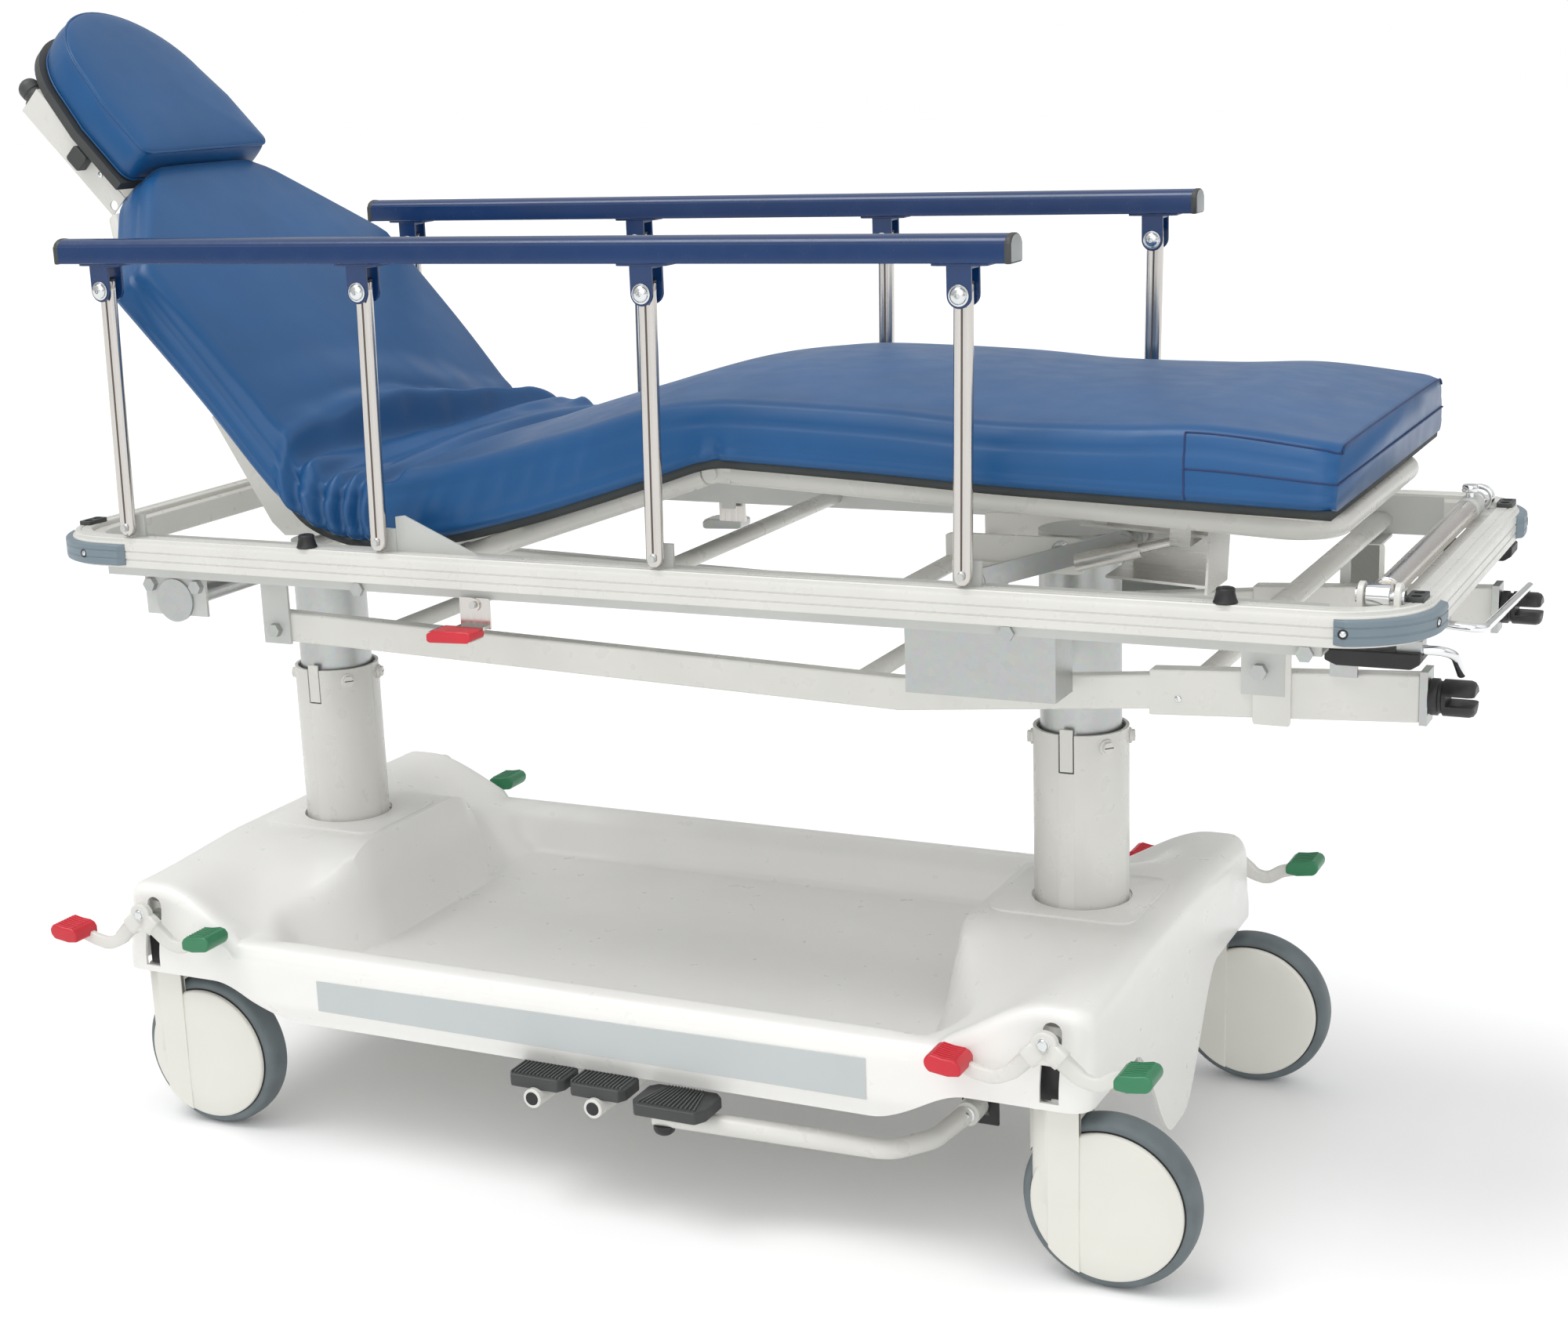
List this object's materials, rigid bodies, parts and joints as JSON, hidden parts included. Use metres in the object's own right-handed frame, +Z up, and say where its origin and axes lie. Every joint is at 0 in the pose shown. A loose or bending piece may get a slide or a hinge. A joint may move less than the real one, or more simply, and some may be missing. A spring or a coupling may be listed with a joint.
{
  "type": "hospital stretcher trolley",
  "caption": "Wheeled hospital stretcher on two lifting columns, with raised backrest and knee, padded sections, folding side rails and a folding infusion pole.",
  "frame": {"origin": "on the floor, under the middle of the overall length and width", "axes": "+X towards the foot end, +Y towards the far side, +Z up"},
  "size_m": [1.9105, 0.7801, 1.4202],
  "materials": {
    "vinyl_blue": "satin",
    "white_plastic": "satin",
    "painted_steel": "satin",
    "zinc": "satin",
    "stainless": "brushed",
    "chrome": "polished",
    "navy_powder": "satin",
    "tyre_grey": "matte",
    "grey_plastic": "matte",
    "black_rubber": "matte",
    "charcoal": "matte",
    "red_plastic": "satin",
    "green_plastic": "satin",
    "caster_white": "satin"
  },
  "bodies": {
    "base": {"base_shell": "white_plastic", "chassis": "painted_steel", "outer_columns": "painted_steel", "column_covers": "white_plastic"},
    "swivel_near_head": {"fork_near_head": "caster_white"},
    "wheel_near_head": {"wheel_near_head": "tyre_grey"},
    "swivel_far_head": {"fork_far_head": "caster_white"},
    "wheel_far_head": {"wheel_far_head": "tyre_grey"},
    "swivel_near_foot": {"fork_near_foot": "caster_white"},
    "wheel_near_foot": {"wheel_near_foot": "tyre_grey"},
    "swivel_far_foot": {"fork_far_foot": "caster_white"},
    "wheel_far_foot": {"wheel_far_foot": "tyre_grey"},
    "brake_head": {"brake_shaft_head": "painted_steel", "brake_caps_head": "red_plastic", "steer_caps_head": "green_plastic"},
    "brake_foot": {"brake_shaft_foot": "painted_steel", "brake_caps_foot": "red_plastic", "steer_caps_foot": "green_plastic"},
    "lower_head": {"lower_head_pedal": "charcoal"},
    "lower_foot": {"lower_foot_pedal": "charcoal"},
    "pump": {"pump_lever": "painted_steel", "pump_pad": "charcoal"},
    "lift_head": {"inner_column_head": "zinc"},
    "lift_foot": {"inner_column_foot": "zinc"},
    "litter": {"litter_frame": "painted_steel", "side_plates": "painted_steel", "corner_bumpers": "grey_plastic", "rail_buffers": "black_rubber", "sockets": "charcoal", "lower_frame": "painted_steel", "zinc_hardware": "zinc", "transport_hooks": "charcoal", "chrome_bars": "chrome", "seat_pad": "vinyl_blue"},
    "latch_near": {"latch_near": "stainless"},
    "latch_far": {"latch_far": "stainless"},
    "backrest": {"back_frame": "painted_steel", "back_pad": "vinyl_blue"},
    "headpiece": {"head_frame": "painted_steel", "head_board": "charcoal", "head_pad": "vinyl_blue", "head_handles": "charcoal"},
    "thigh": {"thigh_frame": "painted_steel", "thigh_pad": "vinyl_blue"},
    "leg": {"leg_frame": "painted_steel", "leg_pad": "vinyl_blue", "leg_track": "stainless"},
    "lever": {"lift_lever": "zinc"},
    "post_near_1": {"post_near_1": "stainless"},
    "post_near_2": {"post_near_2": "stainless"},
    "post_near_3": {"post_near_3": "stainless"},
    "post_near_4": {"post_near_4": "stainless"},
    "rail_near": {"rail_bar_near": "navy_powder"},
    "post_far_1": {"post_far_1": "stainless"},
    "post_far_2": {"post_far_2": "stainless"},
    "post_far_3": {"post_far_3": "stainless"},
    "post_far_4": {"post_far_4": "stainless"},
    "rail_far": {"rail_bar_far": "navy_powder"},
    "pole": {"pole_tube": "stainless"},
    "pole_rod": {"pole_rod": "stainless"}
  },
  "joints": [
    {"name": "swivel_near_head", "type": "hinge", "parent": "base", "child": "swivel_near_head", "pos_m": [-0.659, -0.302, 0.24], "axis": [0, 0, 1], "continuous": true},
    {"name": "roll_near_head", "type": "hinge", "parent": "swivel_near_head", "child": "wheel_near_head", "pos_m": [-0.602, -0.302, 0.1], "axis": [0, 1, 0], "continuous": true},
    {"name": "swivel_far_head", "type": "hinge", "parent": "base", "child": "swivel_far_head", "pos_m": [-0.659, 0.302, 0.24], "axis": [0, 0, 1], "continuous": true},
    {"name": "roll_far_head", "type": "hinge", "parent": "swivel_far_head", "child": "wheel_far_head", "pos_m": [-0.602, 0.302, 0.1], "axis": [0, 1, 0], "continuous": true},
    {"name": "swivel_near_foot", "type": "hinge", "parent": "base", "child": "swivel_near_foot", "pos_m": [0.553, -0.302, 0.24], "axis": [0, 0, 1], "continuous": true},
    {"name": "roll_near_foot", "type": "hinge", "parent": "swivel_near_foot", "child": "wheel_near_foot", "pos_m": [0.61, -0.302, 0.1], "axis": [0, 1, 0], "continuous": true},
    {"name": "swivel_far_foot", "type": "hinge", "parent": "base", "child": "swivel_far_foot", "pos_m": [0.553, 0.302, 0.24], "axis": [0, 0, 1], "continuous": true},
    {"name": "roll_far_foot", "type": "hinge", "parent": "swivel_far_foot", "child": "wheel_far_foot", "pos_m": [0.61, 0.302, 0.1], "axis": [0, 1, 0], "continuous": true},
    {"name": "brake_head", "type": "hinge", "parent": "base", "child": "brake_head", "pos_m": [-0.659, 0, 0.285], "axis": [0, 1, 0], "range_deg": [-10, 10]},
    {"name": "brake_foot", "type": "hinge", "parent": "base", "child": "brake_foot", "pos_m": [0.553, 0, 0.285], "axis": [0, 1, 0], "range_deg": [-10, 10]},
    {"name": "lower_head_pedal", "type": "hinge", "parent": "base", "child": "lower_head", "pos_m": [-0.081, -0.18, 0.14], "axis": [1, 0, 0], "range_deg": [0, 9], "stiffness_Nm_per_rad": 20, "springref_deg": -11.46},
    {"name": "lower_foot_pedal", "type": "hinge", "parent": "base", "child": "lower_foot", "pos_m": [0.001, -0.18, 0.14], "axis": [1, 0, 0], "range_deg": [0, 9], "stiffness_Nm_per_rad": 20, "springref_deg": -11.46},
    {"name": "pump_pedal", "type": "hinge", "parent": "base", "child": "pump", "pos_m": [0.407, -0.196, 0.13], "axis": [0, -1, 0], "range_deg": [0, 6], "stiffness_Nm_per_rad": 60, "springref_deg": -11.46},
    {"name": "lift", "type": "slide", "parent": "base", "child": "lift_head", "axis": [0, 0, 1], "range_m": [-0.12, 0.06]},
    {"name": "foot_column", "type": "slide", "parent": "lift_head", "child": "lift_foot", "axis": [0, 0, 1], "range_m": [-0.093, 0.093]},
    {"name": "tilt", "type": "hinge", "parent": "lift_head", "child": "litter", "pos_m": [-0.583, 0, 0.705], "axis": [0, -1, 0], "range_deg": [-5, 5]},
    {"name": "latch_near", "type": "hinge", "parent": "litter", "child": "latch_near", "pos_m": [-0.138, -0.338, 0.73], "axis": [0, -1, 0], "range_deg": [-14, 0], "stiffness_Nm_per_rad": 1, "springref_deg": 11.46},
    {"name": "latch_far", "type": "hinge", "parent": "litter", "child": "latch_far", "pos_m": [-0.138, 0.338, 0.73], "axis": [0, -1, 0], "range_deg": [-14, 0], "stiffness_Nm_per_rad": 1, "springref_deg": 11.46},
    {"name": "backrest", "type": "hinge", "parent": "litter", "child": "backrest", "pos_m": [-0.41, 0, 0.775], "axis": [0, 1, 0], "range_deg": [-41, 12]},
    {"name": "headpiece", "type": "hinge", "parent": "backrest", "child": "headpiece", "pos_m": [-0.78139, 0, 1.17399], "axis": [0, 1, 0], "range_deg": [-40, 0]},
    {"name": "thigh", "type": "hinge", "parent": "litter", "child": "thigh", "pos_m": [-0.223, 0, 0.76], "axis": [0, -1, 0], "range_deg": [-14, 7]},
    {"name": "leg", "type": "hinge", "parent": "thigh", "child": "leg", "pos_m": [0.12002, 0, 0.87411], "axis": [0, -1, 0], "range_deg": [-8.3, 16.4]},
    {"name": "lever", "type": "hinge", "parent": "litter", "child": "lever", "pos_m": [0.377, -0.085, 0.734], "axis": [0, -1, 0], "range_deg": [-21.5, 10.8]},
    {"name": "rail_near", "type": "hinge", "parent": "litter", "child": "post_near_1", "pos_m": [-0.637, -0.334, 0.796], "axis": [0, 1, 0], "range_deg": [0, 78]},
    {"name": "post_near_2", "type": "hinge", "parent": "litter", "child": "post_near_2", "pos_m": [-0.267, -0.334, 0.796], "axis": [0, 1, 0], "range_deg": [0, 78]},
    {"name": "post_near_3", "type": "hinge", "parent": "litter", "child": "post_near_3", "pos_m": [0.098, -0.334, 0.796], "axis": [0, 1, 0], "range_deg": [0, 78]},
    {"name": "post_near_4", "type": "hinge", "parent": "litter", "child": "post_near_4", "pos_m": [0.46, -0.334, 0.796], "axis": [0, 1, 0], "range_deg": [0, 78]},
    {"name": "rail_bar_near", "type": "hinge", "parent": "post_near_1", "child": "rail_near", "pos_m": [-0.63091, -0.334, 1.08694], "axis": [0, -1, 0], "range_deg": [0, 78]},
    {"name": "rail_far", "type": "hinge", "parent": "litter", "child": "post_far_1", "pos_m": [-0.637, 0.334, 0.796], "axis": [0, 1, 0], "range_deg": [0, 78]},
    {"name": "post_far_2", "type": "hinge", "parent": "litter", "child": "post_far_2", "pos_m": [-0.267, 0.334, 0.796], "axis": [0, 1, 0], "range_deg": [0, 78]},
    {"name": "post_far_3", "type": "hinge", "parent": "litter", "child": "post_far_3", "pos_m": [0.098, 0.334, 0.796], "axis": [0, 1, 0], "range_deg": [0, 78]},
    {"name": "post_far_4", "type": "hinge", "parent": "litter", "child": "post_far_4", "pos_m": [0.46, 0.334, 0.796], "axis": [0, 1, 0], "range_deg": [0, 78]},
    {"name": "rail_bar_far", "type": "hinge", "parent": "post_far_1", "child": "rail_far", "pos_m": [-0.63091, 0.334, 1.08694], "axis": [0, -1, 0], "range_deg": [0, 78]},
    {"name": "pole", "type": "hinge", "parent": "litter", "child": "pole", "pos_m": [0.88, -0.288, 0.79], "axis": [1, 0, 0], "range_deg": [0, 90]},
    {"name": "pole_rod", "type": "slide", "parent": "pole", "child": "pole_rod", "axis": [0, 1, 0], "range_m": [0, 0.36]}
  ],
  "couplings": [
    {"joint": "brake_foot", "follows": "brake_head", "ratio": 1},
    {"joint": "foot_column", "follows": "tilt", "m_per_rad": 1.0587},
    {"joint": "leg", "follows": "thigh", "ratio": -1.163},
    {"joint": "lever", "follows": "thigh", "ratio": 1.52},
    {"joint": "post_near_2", "follows": "rail_near", "ratio": 1},
    {"joint": "post_near_3", "follows": "rail_near", "ratio": 1},
    {"joint": "post_near_4", "follows": "rail_near", "ratio": 1},
    {"joint": "rail_bar_near", "follows": "rail_near", "ratio": 1},
    {"joint": "post_far_2", "follows": "rail_far", "ratio": 1},
    {"joint": "post_far_3", "follows": "rail_far", "ratio": 1},
    {"joint": "post_far_4", "follows": "rail_far", "ratio": 1},
    {"joint": "rail_bar_far", "follows": "rail_far", "ratio": 1}
  ]
}
